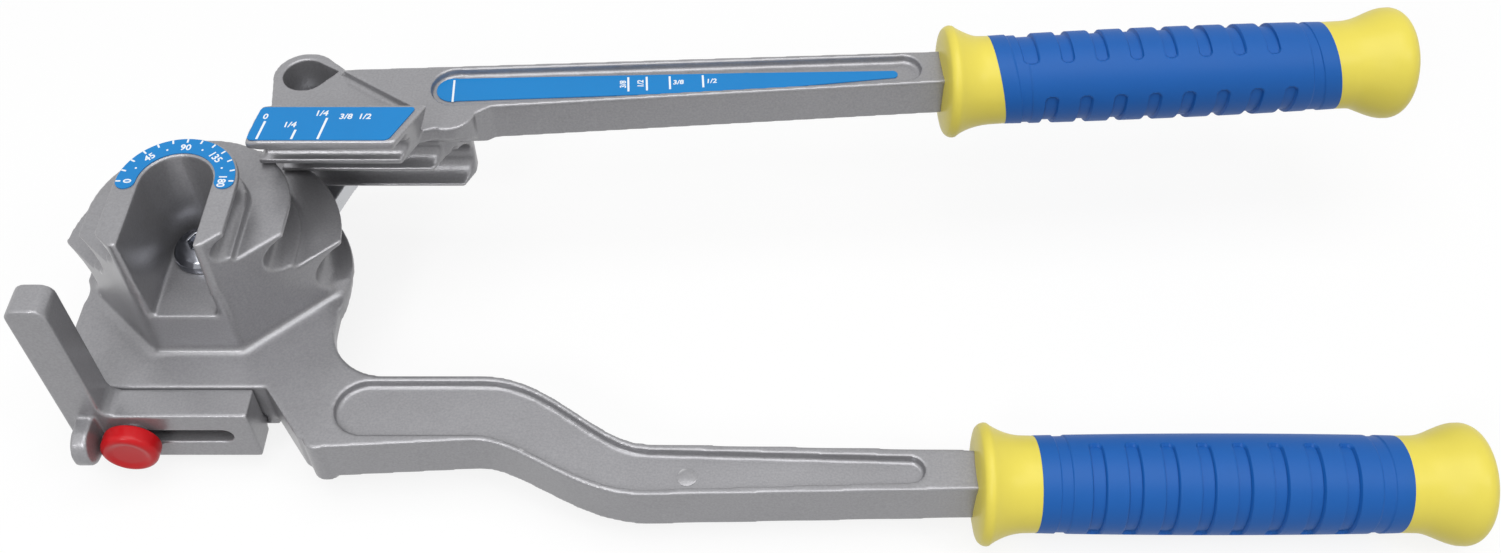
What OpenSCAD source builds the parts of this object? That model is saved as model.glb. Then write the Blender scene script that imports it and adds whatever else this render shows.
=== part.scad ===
// Lever tube bender for three tube sizes. A stepped die stands on the lower handle, a stepped
// shoe hangs on the upper handle, a steel link joins the two under the die, and a sliding hook
// holds the tube. Sizes are in millimetres. The bend axis is the Z axis, +X runs along the lower
// handle to its grip, +Y points away from the hook, and the lower grip touches the plane z = 0.

/* [Tubes] */
// Outside diameter of the small tube
tube_small = 6.35; // [5.5:0.05:7]
// Outside diameter of the middle tube
tube_mid = 9.53; // [8.5:0.01:10.5]
// Outside diameter of the large tube
tube_large = 12.7; // [11.5:0.1:13.5]
// Bend radius of the small tube, to its centre line
bend_small = 14.3; // [13.5:0.1:16]
// Bend radius of the middle tube, to its centre line
bend_mid = 23.8; // [22.5:0.1:25]
// Bend radius of the large tube, to its centre line
bend_large = 33.3; // [32.5:0.1:34]
// Radial room between a tube and its groove
groove_clear = 0.08; // [0.03:0.01:0.2]

/* [Die and base] */
// Flange beside the small groove
land_small = 1.7; // [1.2:0.1:2.5]
// Flange beside the middle groove
land_mid = 1.4; // [1:0.1:2.2]
// Flange beside the large groove
land_large = 1.3; // [0.8:0.1:2]
// Distance from the bend axis to the die's front face
die_front = 20.2; // [18:0.1:23]
// Width of the die's front face
die_front_w = 21; // [18:0.5:24]
// Angle of the two cut-off front corners
corner_angle = 43; // [36:1:48]
// Lean of the die's front faces
die_draft = 1; // [0:0.5:6]
// Width of the die's slot at its floor
slot_floor_w = 15.4; // [14.8:0.1:16.4]
// Width of the die's slot at the top
slot_top_w = 17; // [16:0.1:18]
// Height of the slot's floor over the base
slot_floor_h = 12.9; // [10:0.1:16]
// Thickness of the base plate
plate_t = 3.8; // [3:0.1:5]
// Distance from the bend axis to the base's front face
base_front = 31; // [30:0.5:33]
// How far the base's round edge lies inside the large step
base_inset = 0.9; // [0.5:0.1:1.5]
// Distance from the bend axis to the base's right side
base_side = 31.3; // [30:0.1:32]
// Thickness of the wall under the base's front edge
wall_t = 6.6; // [5:0.1:7]
// Depth of that wall below the base's top
wall_h = 15.5; // [13:0.5:17]

/* [Lower handle] */
// Height of the base's top over the lower grip's axis
base_rise = 8.6; // [7:0.1:10]
// Distance of the arm's root from the bend axis, to its middle
root_y = 36.7; // [36:0.1:38]
// Width of the arm at its root
root_w = 18.3; // [17:0.1:19.5]
// Height of the arm at its root
root_h = 12.6; // [11:0.1:13.5]
// Radius of the fillet between the base and the arm
root_fillet = 14.5; // [8:0.5:15]
// Where the arm starts to bend
sway_start = 69; // [64:1:72]
// Where the arm ends its bend
sway_end = 109; // [105:1:118]
// Width of the arm just after its bend
neck_w = 13.9; // [12.5:0.1:15]
// Distance of the lower grip's axis from the bend axis
lower_grip_y = 52.4; // [50:0.1:54]
// Distance from the bend axis to the start of the lower grip
lower_grip_x = 185; // [175:1:195]
// Rim beside the recess in the lower arm
recess_rim = 1.6; // [1.2:0.1:2.4]
// Depth of the recess in both arms
recess_depth = 2.2; // [1.2:0.1:2.8]

/* [Upper handle] */
// Left end of the shoe at its lowest lip
shoe_start = 14; // [13.5:0.1:16]
// Length of the shoe along its lip
shoe_len = 34.5; // [30:0.5:36]
// Angle of the shoe's slanted right end
shoe_end_angle = 64.8; // [60:0.2:68]
// Angle of the shoe's left end away from square
shoe_slant = 8; // [4:0.5:10]
// Gap between the shoe's lips and the die's round edges
lip_gap = 0.6; // [0.5:0.05:0.9]
// How far the label pad's front edge reaches over the die
pad_reach = 5; // [4:0.1:5.4]
// Depth of the label pad on the shoe
pad_depth = 12.8; // [12:0.1:13.5]
// How far the label pad stands over the die's top
pad_rise = 3.5; // [2.8:0.1:4]
// Wall of the shoe behind the large channel
shoe_wall = 3; // [2:0.1:4]
// How far the pivot boss ends below the die's top
boss_drop = 8; // [7:0.1:9]
// How far the upper arm lies below the die's top
arm_drop = 5.5; // [4.5:0.1:6.5]
// Height of the upper arm
upper_h = 11; // [10:0.1:11.5]
// Width of the upper arm at the shoe
upper_root_w = 15.2; // [14:0.1:16]
// Width of the upper arm at the grip
upper_tip_w = 11.4; // [11:0.1:12.5]
// Distance from the bend axis to the start of the upper grip
upper_grip_x = 181.8; // [170:0.1:190]
// Distance of the upper grip's start behind the bend axis
upper_grip_y = 45.7; // [44:0.1:47]
// Turn of the upper arm away from the lower one
upper_yaw = 3.6; // [2.6:0.1:4.4]
// Radius of the rounded lobe where the upper arm leaves the shoe
lobe_r = 6.8; // [5:0.1:8]
// Radius of the fillet under the upper arm
gusset_r = 7; // [4:0.5:7]

/* [Pivots] */
// Distance between the bend axis and the handle pin
link_len = 49.3; // [48.5:0.1:51]
// Angle of the link as drawn, with the handles side by side
link_angle = 66.5; // [65:0.5:69]
// Thickness of the link
link_t = 5.5; // [4:0.1:6.5]
// Radius of the link's end at the bend axis
link_hub_r = 11; // [10:0.1:12]
// Radius of the link's end at the handle pin
link_end_r = 6; // [5.5:0.1:6.4]
// Diameter of the pivot bolt
bolt_d = 8; // [7:0.1:9]
// Diameter of the handle pin
pin_d = 6; // [5:0.1:6.4]
// Wall of the two bushes
bush_wall = 1.1; // [0.8:0.1:1.3]
// Wall of the boss around its bush, below the shoe
spigot_wall = 1.3; // [1:0.1:1.6]
// Wall of the pivot boss around its pocket
boss_wall = 2.5; // [2:0.1:2.8]
// Radius of the boss's pocket
pocket_r = 5.6; // [5.4:0.1:6]
// Depth of the boss's pocket
pocket_depth = 14; // [12:0.5:15]
// Thickness of the washers beside the link
washer_t = 0.8; // [0.5:0.1:1.2]
// Width of the pivot nut across its flats
nut_af = 13; // [13:0.5:15]
// Height of the pivot nut
nut_h = 8; // [6:0.5:8.5]
// Radial running clearance of pins and bolts
run_clear = 0.05; // [0.02:0.01:0.09]

/* [Hook] */
// Thickness of the hook's bar and post
hook_t = 8.2; // [7:0.1:9]
// Height of the hook's bar
bar_h = 16.5; // [15:0.1:17]
// Right end of the hook's bar
bar_end = 15; // [12:0.5:16]
// Width of the hook's post
post_w = 9.2; // [8:0.1:11]
// Distance of the post's inner face from the bend axis
post_x = 18.5; // [18:0.1:21]
// How far the post stands over the die's top
post_rise = 0.8; // [0:0.1:3]
// Width of the long slot in the bar
hook_slot_w = 4.7; // [4.6:0.1:5.2]
// Distance of the clamp screw from the bend axis
screw_x = 13.5; // [12:0.1:14]
// Diameter of the clamp screw
screw_d = 4; // [3.6:0.1:4]
// Diameter of the clamp knob
knob_d = 13.4; // [12:0.1:14]
// Thickness of the clamp knob
knob_t = 4.6; // [4:0.1:6]
// Reach of the finger tab in front of the hook
tab_reach = 9; // [7:0.5:12]

/* [Grips] */
// Length of each grip
grip_len = 118; // [108:1:130]
// Diameter of the flange and of the end knob
grip_flange_d = 28.5; // [27:0.5:30]
// Diameter of the blue sleeve
grip_sleeve_d = 22.5; // [21:0.5:24]
// Thickness of the blue sleeve
sleeve_t = 1.85; // [1.2:0.05:2.5]
// Length of the yellow part before the sleeve
grip_front_len = 13.4; // [12:0.2:18]
// Length of the yellow end knob
grip_knob_len = 21; // [18:0.5:24]
// Diameter of the tang inside each grip
tang_d = 9; // [8:0.1:10]
// Length of the tang inside each grip
tang_len = 94; // [80:1:100]

/* [Labels] */
// Thickness of the three labels
label_t = 0.25; // [0.15:0.05:0.4]
// Margin of bare metal around a label
label_margin = 0.6; // [0.3:0.1:1.2]

/* [Hidden] */
$fn = 64;

// Overshoot that lets a cut pass cleanly through a face
eps = 1;
// Reach of a cutting block that is larger than the whole tool
far = 400;
// Gap between sliding flat faces of the hook and the clamp washer
slide_clear = 0.1;
// Height of the base's edge over the hook's bar
bar_sink = 0.3;
// Room between the clamp screw and the left end of the hook's slot
slot_room = 0.4;
// Metal between the right end of the hook's slot and the bar's end
slot_stop = 5;
// Thickness of the washer under the clamp knob
clamp_washer_t = 0.8;
// Wall of the clamp knob in front of its screw
knob_cap = 1.6;
// Gap under the shoe where it passes over the die's steps, the base and the arm
shoe_clear = 0.4;
// Clearance of parts pressed or moulded together
press_clear = 0.02;

// Heights, counted up from the plane that the lower grip touches
grip_axis = grip_flange_d / 2;
base_r = bend_large - base_inset;
base_top = grip_axis + base_rise;
base_bottom = base_top - plate_t;
groove_small = tube_small / 2 + groove_clear;
groove_mid = tube_mid / 2 + groove_clear;
groove_large = tube_large / 2 + groove_clear;
step_large_top = base_top + 2 * (groove_large + land_large);
step_mid_top = step_large_top + 2 * (groove_mid + land_mid);
die_top = step_mid_top + 2 * (groove_small + land_small);
axis_large = (base_top + step_large_top) / 2;
axis_mid = (step_large_top + step_mid_top) / 2;
axis_small = (step_mid_top + die_top) / 2;
slot_floor = base_top + slot_floor_h;
link_top = base_bottom - washer_t;
link_bottom = link_top - link_t;
nut_top = link_bottom - washer_t;
nut_bottom = nut_top - nut_h;
// Length of the nylon ring at the nut's outer end
insert_h = 2;
// Wall of the nut around that ring
nut_wall = 1;
// Length of bolt that shows past the nut
bolt_tail = 1.5;
// Head of the pivot bolt, which lies in the die's slot, and the metal under its socket
head_r = slot_floor_w / 2 - 0.7;
head_h = 4.4;
socket_af = 5;
socket_floor = 1.4;
bolt_r = bolt_d / 2;
bolt_bore = bolt_r + run_clear;

// Handle pin and the boss around it
pin_r = pin_d / 2;
pin_bore = pin_r + run_clear;
pin_xy = link_len * [cos(link_angle), sin(link_angle)];
boss_r = pocket_r + boss_wall;
boss_top = die_top - boss_drop;
boss_bottom = link_top + washer_t;
pocket_floor = boss_top - pocket_depth;
// Room around the washer in the pocket
washer_room = 0.3;
// Distance of the pocket's pointed tip and of the boss's own tip from the pin's axis
pocket_tip = 8.4;
boss_tip = boss_r + 2.2;
// Direction of the teardrop's tip
tear_turn = 10;
// Spring ring on the pin, its groove and the pin's end above it
ring_t = 0.8;
ring_groove = 0.7;
pin_end = 1;
pin_top = pocket_floor + washer_t + ring_t + pin_end;

// Shoe and upper arm
pad_top = die_top + pad_rise;
upper_top = die_top - arm_drop;
upper_bottom = upper_top - upper_h;
upper_axis = (upper_top + upper_bottom) / 2;
shoe_bottom = base_top + shoe_clear;
lip_small = bend_small + lip_gap;
lip_mid = bend_mid + lip_gap;
lip_large = bend_large + lip_gap;
pad_front = bend_small - pad_reach;
pad_back = pad_front + pad_depth;
// Underside of the pad's front edge, which passes over the die's label
pad_under = die_top + label_t + shoe_clear;
shoe_back = bend_large + groove_large + shoe_wall;
shoe_end = shoe_start + shoe_len;
// Sideways run of the shoe's two ends for each millimetre of depth
start_run = tan(shoe_slant);
end_run = 1 / tan(shoe_end_angle);
// Right side of the shoe below the arm, where its slanted end stops behind the large tube's middle
slant_y = bend_large + 6;
shoe_side = shoe_end + (slant_y - lip_small) * end_run;
// Straight run of the shoe's side before the upper arm takes its full width
arm_flare = 8;
// Distance along the upper arm from its grip to the shoe and to its far corner beside the boss
upper_root_d = upper_grip_x - shoe_side - arm_flare;
upper_far_d = upper_grip_x - pin_xy[0] - boss_r - 2;
// Left end of the label pad past the shoe's own, and its overhang over the shoe's slanted right end
pad_inset = 1.2;
pad_over = 4;
// Lean of the pad's right end
pad_lean = 17;
// Bare metal beside the label's right end
label_side = 1.9;
// Inner corner of the upper arm beside the label pad, which lies a little behind the pad
arm_corner_y = pad_back + 1.9;
arm_corner = [shoe_right(arm_corner_y), arm_corner_y];
// How deep the arm's corner and its lobe reach into the shoe
corner_in = 2;
lobe_in = 1.2;
// Thickness of the lobe at its near edge, and how far its slanted underside runs back for each
// millimetre it falls
lobe_edge = 4.5;
lobe_run = 1.1;
// Rim beside the recess in the upper arm, and the recess's round ends
upper_rim = 1.1;
upper_recess_r = upper_root_w / 2 - upper_rim;
upper_recess_tip = upper_tip_w / 2 - upper_rim;
// How far the recess starts before the arm's full width, and how far it ends before the grip
upper_recess_lead = 8.7;
upper_recess_stop = 10.4;
// Scale strip: its two ends and the bend between them, as distances before the grip
scale_start = upper_root_d + upper_recess_lead + 1.2;
scale_bend = 50;
scale_stop = 13;
// Half width of the strip at these three places, and its middle beside the arm's axis
scale_start_r = 4.2;
scale_bend_r = 3.4;
scale_stop_r = 1.3;
scale_start_y = 1;
scale_bend_y = -0.7;
scale_stop_y = -0.2;

// Lower arm
// Height and width of the lower arm at its grip
lower_tip_h = 12.8;
lower_tip_w = 10.6;
root_near = root_y + root_w / 2;
root_far = root_y - root_w / 2;
// Left corner of the arm's root, in front of the base
heel_x = 30;
heel_y = root_near - 1.1;
heel_r = 3.5;
// How far the heel's round foot reaches below the arm
heel_drop = 1.2;
// Right end of the wall behind the hook's bar
wall_end = bar_end + 3;
// Ends of the recess in the lower arm and its half width at the grip
recess_start = 42.8;
recess_end = lower_grip_x - 15.7;
recess_tip = 3.3;

// Hook
bar_top = base_top - bar_sink;
bar_bottom = bar_top - bar_h;
slot_z = bar_top - bar_h / 2;
hook_back = base_front + slide_clear;
hook_front = hook_back + hook_t;
post_top = die_top + post_rise;
post_left = post_x + post_w;
slot_left = screw_x + screw_d / 2 + slot_room;
slot_right = bar_end - slot_stop - hook_slot_w / 2;
// Rounding of the post's top and of its foot on the bar
post_round = 3;
bar_fillet = 3;
// Guide tongue behind the bar and the finger tab in front of it
tongue_h = 3;
tongue_t = 1.6;
tongue_z = bar_bottom + 2.2;
tab_w = 3.8;
tab_h = 10.5;
tab_left = post_left - 3.2;
tab_z = bar_top - tab_h / 2;
screw_r = screw_d / 2;
washer_front = hook_front + slide_clear + clamp_washer_t;
clamp_washer_r = 4.8;

// Grips
flange_r = grip_flange_d / 2;
sleeve_r = grip_sleeve_d / 2;
waist_r = sleeve_r - sleeve_t;
tang_r = tang_d / 2;

// Smooth step from 0 to 1
function ease(t) = t <= 0 ? 0 : t >= 1 ? 1 : t * t * (3 - 2 * t);
function mix(a, b, t) = a + (b - a) * t;
// Share of the lower arm's bend that lies before x
function sway(x) = ease((x - sway_start) / (sway_end - sway_start));
// Share of the straight neck that lies before x
function neck(x) = max(0, min(1, (x - sway_end) / (lower_grip_x - sway_end)));
function arm_mid(x) = -mix(root_y, lower_grip_y, sway(x));
// Sideways run of the lower arm's middle for each millimetre along x
function sway_run(x) =
    let(t = max(0, min(1, (x - sway_start) / (sway_end - sway_start))))
    6 * t * (1 - t) * (lower_grip_y - root_y) / (sway_end - sway_start);
// Half width of the lower arm along y; its width is measured square to its middle line
function arm_half(x) =
    mix(mix(root_w, neck_w, sway(x)), lower_tip_w, neck(x)) / 2 * sqrt(1 + pow(sway_run(x), 2));
function arm_high(x) = mix(base_top, grip_axis + lower_tip_h / 2, sway(x));
function arm_low(x) = mix(base_top - root_h, grip_axis - lower_tip_h / 2, sway(x));
function recess_half(x) = mix(arm_half(x) - recess_rim, recess_tip, neck(x));
// Stations along the lower arm between two ends, close together only in its bend
function stations(from, to) =
    concat([from], [for (i = [0:12]) mix(sway_start, sway_end, i / 12)], [to]);
function reversed(list) = [for (i = [len(list) - 1:-1:0]) list[i]];
function turned(v, a) = [v[0] * cos(a) - v[1] * sin(a), v[0] * sin(a) + v[1] * cos(a)];
// Point beside the upper arm's axis, a distance d before its grip and y to the left of the axis
function upper_point(d, y) = [upper_grip_x, upper_grip_y] + turned([-d, y], upper_yaw);
function upper_half(d) = mix(upper_tip_w, upper_root_w, d / upper_root_d) / 2;
// Left and right ends of the shoe at depth y
function shoe_left(y) = shoe_start + (y - lip_small) * start_run;
function shoe_right(y) = min(shoe_side, shoe_end + (y - lip_small) * end_run);
// Left and right ends of the label pad at depth y, at its top
function pad_left(y) = shoe_left(y) + pad_inset;
function pad_right(y) = shoe_end + (y - lip_small) * end_run + pad_over;

cast_grey = [0.59, 0.585, 0.605];
steel = [0.72, 0.73, 0.75];
bronze = [0.72, 0.55, 0.3];
grip_blue = [0.11, 0.35, 0.67];
grip_yellow = [0.94, 0.89, 0.36];
label_blue = [0.13, 0.54, 0.85];
knob_red = [0.8, 0.12, 0.14];
nylon = [0.9, 0.9, 0.86];

// Ring with its lower face at z
module ring(outer, inner, z, h) {
    translate([0, 0, z])
        difference() {
            cylinder(r = outer, h = h);
            translate([0, 0, -eps]) cylinder(r = inner, h = h + 2 * eps);
        }
}

// Flat bar along +X, standing on z = 0, with a round end at each of its two radii and straight sides
module tapered_bar(length, start_r, end_r, h) {
    lean = asin((start_r - end_r) / length);
    // Keeps the sides just inside the rounds, so that each side crosses them
    inset = 0.97;
    side = inset * [sin(lean), cos(lean)];
    other = inset * [sin(lean), -cos(lean)];
    cylinder(r = start_r, h = h);
    translate([length, 0, 0]) cylinder(r = end_r, h = h);
    linear_extrude(h)
        polygon([
            start_r * side, [length, 0] + end_r * side,
            [length, 0] + end_r * other, start_r * other
        ]);
}

// Flat bar with round ends from one point (x, y) to another, with its lower face at z
module bar_between(from, to, start_r, end_r, z, h) {
    along = to - from;
    translate([from[0], from[1], z])
        rotate([0, 0, atan2(along[1], along[0])]) tapered_bar(norm(along), start_r, end_r, h);
}

// One step of the die: round at the back, straight towards the front
module die_step(r, z, h) {
    translate([0, 0, z])
        linear_extrude(h) {
            circle(r);
            translate([-r, -die_front - eps]) square([2 * r, die_front + eps]);
        }
}

// Tube groove of one step: half a ring at the back and two straight ends
module die_groove(r, z, groove) {
    translate([0, 0, z]) {
        rotate_extrude(angle = 180) translate([r, 0]) circle(groove);
        for (side = [-1, 1])
            translate([side * r, 0, 0])
                rotate([90, 0, 0]) cylinder(r = groove, h = die_front + 2 * eps);
    }
}

// Half space in front of the die's front face
module die_front_cut() {
    translate([0, -die_front, base_top])
        rotate([-die_draft, 0, 0])
            translate([-far / 2, -far, -2 * eps]) cube([far, far, far]);
}

// Half space that cuts the die's right front corner off
module die_corner_cut() {
    translate([die_front_w / 2, -die_front, base_top])
        rotate([0, 0, corner_angle])
            rotate([-die_draft, 0, 0])
                translate([-far / 2, -far, -2 * eps]) cube([far, far, far]);
}

// Slot in the die, round at the bend axis, open to the front, wider at the top
module die_slot() {
    slot_h = die_top - slot_floor;
    open_w = slot_top_w + (slot_top_w - slot_floor_w) * eps / slot_h;
    translate([0, 0, slot_floor]) {
        cylinder(r1 = slot_floor_w / 2, r2 = open_w / 2, h = slot_h + eps);
        rotate([90, 0, 0])
            linear_extrude(die_front + 2 * eps)
                polygon([
                    [-slot_floor_w / 2, 0], [slot_floor_w / 2, 0],
                    [open_w / 2, slot_h + eps], [-open_w / 2, slot_h + eps]
                ]);
    }
}

module die_block() {
    difference() {
        union() {
            die_step(bend_large, base_top - eps, step_large_top - base_top + eps);
            die_step(bend_mid, step_large_top - eps, step_mid_top - step_large_top + eps);
            die_step(bend_small, step_mid_top - eps, die_top - step_mid_top + eps);
        }
        die_groove(bend_large, axis_large, groove_large);
        die_groove(bend_mid, axis_mid, groove_mid);
        die_groove(bend_small, axis_small, groove_small);
        die_front_cut();
        die_corner_cut();
        mirror([1, 0, 0]) die_corner_cut();
        die_slot();
    }
}

// Outline of the base plate: round at the back, filleted to the arm at the right
module base_plan() {
    intersection() {
        circle(base_r);
        translate([-base_r, -base_front]) square([2 * base_r, base_front + base_r]);
    }
    translate([-base_r, -base_front]) square([base_r + base_side, base_front]);
    difference() {
        translate([base_side - eps, -root_far - eps]) square([root_fillet + eps, root_fillet + eps]);
        translate([base_side + root_fillet, -root_far + root_fillet]) circle(root_fillet);
    }
}

// Base plate with the wall that carries the hook
module base() {
    translate([0, 0, base_bottom]) linear_extrude(plate_t) base_plan();
    translate([-base_r, -base_front, base_top - wall_h])
        cube([base_r + wall_end, wall_t, wall_h]);
}

// Root of the lower arm, which leaves the base and ends in a rounded heel
module arm_root() {
    translate([0, 0, base_top - root_h])
        linear_extrude(root_h)
            polygon([
                [wall_end - eps, -base_front + wall_t], [wall_end - eps, -base_front],
                [wall_end, -base_front],
                [heel_x - 0.6 * heel_r, -heel_y], [heel_x + heel_r, -heel_y - 0.9 * heel_r],
                [sway_start, -root_near], [sway_start, -root_far], [base_side, -root_far]
            ]);
    translate([heel_x + 0.8 * heel_r, -heel_y, base_top - root_h - heel_drop])
        cylinder(r = heel_r, h = root_h + heel_drop);
}

// Outline of the lower arm from above, between two stations, with half widths from the arm or its recess
module arm_plan(from, to, recess) {
    xs = stations(from, to);
    half = [for (x = xs) recess ? recess_half(x) : arm_half(x)];
    near = [for (i = [0:len(xs) - 1]) [xs[i], arm_mid(xs[i]) - half[i]]];
    away = [for (i = [0:len(xs) - 1]) [xs[i], arm_mid(xs[i]) + half[i]]];
    polygon(concat(near, reversed(away)));
}

// Lower arm: its outline from above, cut to its outline from the side
module lower_arm() {
    xs = stations(heel_x + 2 * heel_r, lower_grip_x);
    intersection() {
        linear_extrude(far) arm_plan(heel_x + 2 * heel_r, lower_grip_x, false);
        rotate([90, 0, 0])
            linear_extrude(far)
                polygon(concat(
                    [for (x = xs) [x, arm_low(x)]],
                    reversed([for (x = xs) [x, arm_high(x)]])
                ));
    }
}

// Long recess in the lower arm's top, with round ends
module lower_recess() {
    xs = stations(recess_start - far / 10, recess_end + far / 10);
    intersection() {
        linear_extrude(far) {
            arm_plan(recess_start, recess_end, true);
            translate([recess_start, arm_mid(recess_start)]) circle(recess_half(recess_start));
            translate([recess_end, arm_mid(recess_end)]) circle(recess_half(recess_end));
        }
        rotate([90, 0, 0])
            linear_extrude(far)
                polygon(concat(
                    [for (x = xs) [x, arm_high(x) - recess_depth]],
                    reversed([for (x = xs) [x, arm_high(x) + far / 10]])
                ));
    }
}

module form_handle() {
    color(cast_grey)
        difference() {
            union() {
                die_block();
                base();
                arm_root();
                lower_arm();
                translate([lower_grip_x - eps, -lower_grip_y, grip_axis])
                    rotate([0, 90, 0]) cylinder(r = tang_r, h = tang_len + eps);
            }
            lower_recess();
            translate([0, 0, base_bottom - eps]) cylinder(r = bolt_bore, h = far);
            translate([-screw_x, -base_front - eps, slot_z])
                rotate([-90, 0, 0]) cylinder(r = screw_r + run_clear, h = wall_t + 2 * eps);
            translate([-base_r - eps, -base_front - eps, tongue_z - slide_clear])
                cube([
                    base_r + bar_end + slide_clear + eps,
                    tongue_t + slide_clear + eps, tongue_h + 2 * slide_clear
                ]);
        }
}

module pivot_bolt() {
    // Height of the straight band under the head's dome, and the dome's own height
    band = 1;
    dome = (head_h - band) / sin(60);
    color(steel)
        difference() {
            union() {
                translate([0, 0, nut_bottom - bolt_tail])
                    cylinder(r = bolt_r, h = slot_floor - nut_bottom + bolt_tail + band);
                translate([0, 0, slot_floor])
                    rotate_extrude()
                        polygon(concat(
                            [[0, 0], [head_r, 0]],
                            [for (a = [0:15:60]) [head_r * cos(a), band + dome * sin(a)]],
                            [[0, head_h]]
                        ));
            }
            translate([0, 0, slot_floor + socket_floor])
                cylinder(d = socket_af / cos(30), h = head_h, $fn = 6);
        }
}

module thrust_washer() {
    color(steel) ring(link_hub_r - 1, bolt_bore, link_top, washer_t);
}

module lower_washer() {
    color(steel) ring(link_hub_r - 2, bolt_bore, nut_top, washer_t);
}

module pivot_nut() {
    color(steel)
        difference() {
            translate([0, 0, nut_bottom]) cylinder(d = nut_af / cos(30), h = nut_h, $fn = 6);
            translate([0, 0, nut_bottom - eps]) cylinder(r = bolt_r + press_clear, h = nut_h + 2 * eps);
            translate([0, 0, nut_bottom - eps]) cylinder(r = nut_af / 2 - nut_wall, h = insert_h + eps);
        }
}

module nut_insert() {
    color(nylon) ring(nut_af / 2 - nut_wall - press_clear, bolt_r + press_clear, nut_bottom, insert_h);
}

// Sector of a ring over the die's top, from left through the back to right, with round ends
module degree_scale() {
    inner = slot_top_w / 2 + label_margin;
    outer = bend_small - label_margin;
    middle = (inner + outer) / 2;
    color(label_blue)
        translate([0, 0, die_top])
            linear_extrude(label_t) {
                difference() {
                    circle(outer);
                    circle(inner);
                    translate([-far / 2, -far]) square([far, far]);
                }
                for (side = [-1, 1]) translate([side * middle, 0]) circle((outer - inner) / 2);
            }
}

// Moulded core of a grip along +X: flange, waist for the sleeve, end knob and a hole for the tang
module grip_core() {
    sleeve_end = grip_len - grip_knob_len;
    // Length of the flange's full-width band
    band = 3.5;
    // Radius of the flange's and the knob's rounded rims
    rim = 2.5;
    front_taper = grip_front_len - rim - band;
    knob_rim = 5;
    // Where the end knob starts to widen, and the length over which it does
    knob_foot = sleeve_end + 3;
    knob_taper = grip_len - knob_foot - rim - knob_rim;
    // Shares of a taper's length at which its outline has a point
    steps = [for (i = [0:6]) i / 6];
    color(grip_yellow)
        difference() {
            rotate([0, 90, 0])
                rotate_extrude()
                    polygon(concat(
                        [[0, 0]],
                        [for (a = [0:15:90]) [flange_r - rim + rim * sin(a), rim - rim * cos(a)]],
                        [for (t = steps) [mix(flange_r, sleeve_r, ease(t)), rim + band + front_taper * t]],
                        [[waist_r, grip_front_len], [waist_r, sleeve_end]],
                        [for (t = steps) [mix(sleeve_r, flange_r, ease(t)), knob_foot + knob_taper * t]],
                        [for (a = [0:15:90])
                            [flange_r + knob_rim * (cos(a) - 1), grip_len + knob_rim * (sin(a) - 1)]],
                        [[0, grip_len]]
                    ));
            translate([-eps, 0, 0])
                rotate([0, 90, 0]) cylinder(r = tang_r + press_clear, h = tang_len + 2 * eps);
        }
}

// Soft sleeve around a grip's waist, with a ring groove near each end
module grip_sleeve() {
    sleeve_len = grip_len - grip_front_len - grip_knob_len;
    ring_w = 0.8;
    ring_in = 3;
    color(grip_blue)
        translate([grip_front_len, 0, 0])
            rotate([0, 90, 0])
                difference() {
                    cylinder(r = sleeve_r, h = sleeve_len);
                    translate([0, 0, -eps]) cylinder(r = waist_r + press_clear, h = sleeve_len + 2 * eps);
                    for (z = [ring_in, sleeve_len - ring_in - ring_w])
                        ring(sleeve_r + eps, sleeve_r - 0.5, z, ring_w);
                }
}

module at_lower_grip() {
    translate([lower_grip_x, -lower_grip_y, grip_axis]) children();
}

module at_upper_grip() {
    translate([upper_grip_x, upper_grip_y, upper_axis]) rotate([0, 0, upper_yaw]) children();
}

module lower_grip_core() {
    at_lower_grip() grip_core();
}

module lower_grip_sleeve() {
    at_lower_grip() grip_sleeve();
}

module upper_grip_core() {
    at_upper_grip() grip_core();
}

module upper_grip_sleeve() {
    at_upper_grip() grip_sleeve();
}

module at_pin() {
    translate([pin_xy[0], pin_xy[1], 0]) children();
}

// Flat steel link with a round end at each pivot
module swing_link() {
    color(steel)
        difference() {
            translate([0, 0, link_bottom])
                rotate([0, 0, link_angle]) tapered_bar(link_len, link_hub_r, link_end_r, link_t);
            translate([0, 0, link_bottom - eps])
                cylinder(r = bolt_bore + bush_wall, h = link_t + 2 * eps);
            at_pin() translate([0, 0, link_bottom - eps]) cylinder(r = pin_r, h = link_t + 2 * eps);
        }
}

module link_bush() {
    color(bronze) ring(bolt_bore + bush_wall - press_clear, bolt_bore, link_bottom, link_t);
}

// Pin fixed in the link, with a groove for the ring at its top
module handle_pin() {
    color(steel)
        at_pin()
            difference() {
                translate([0, 0, link_bottom])
                    cylinder(r = pin_r - press_clear, h = pin_top - link_bottom);
                ring(pin_r + eps, pin_r - ring_groove, pocket_floor + washer_t, ring_t);
            }
}

module handle_washer() {
    color(steel) at_pin() ring(link_end_r - 2 * washer_room, pin_bore, link_top, washer_t);
}

module pin_washer() {
    color(steel) at_pin() ring(pocket_r - washer_room, pin_bore, pocket_floor, washer_t);
}

// Open spring ring in the pin's groove
module pin_ring() {
    color(steel)
        at_pin()
            difference() {
                ring(
                    pocket_r - 2 * washer_room, pin_r - ring_groove + press_clear,
                    pocket_floor + washer_t, ring_t
                );
                translate([0, -pin_r / 2, pocket_floor]) cube([far, pin_r, far]);
            }
}

// Upright teardrop around the pin's axis, with its point towards the arm
module teardrop(r, tip, h) {
    spread = acos(r / tip);
    // Keeps the flat sides just inside the round, so that they cross it
    inset = 0.99;
    side = inset * r * [cos(spread), sin(spread)];
    cylinder(r = r, h = h);
    rotate([0, 0, tear_turn])
        linear_extrude(h) polygon([[0, 0], [side[0], -side[1]], [tip, 0], side]);
}

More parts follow.
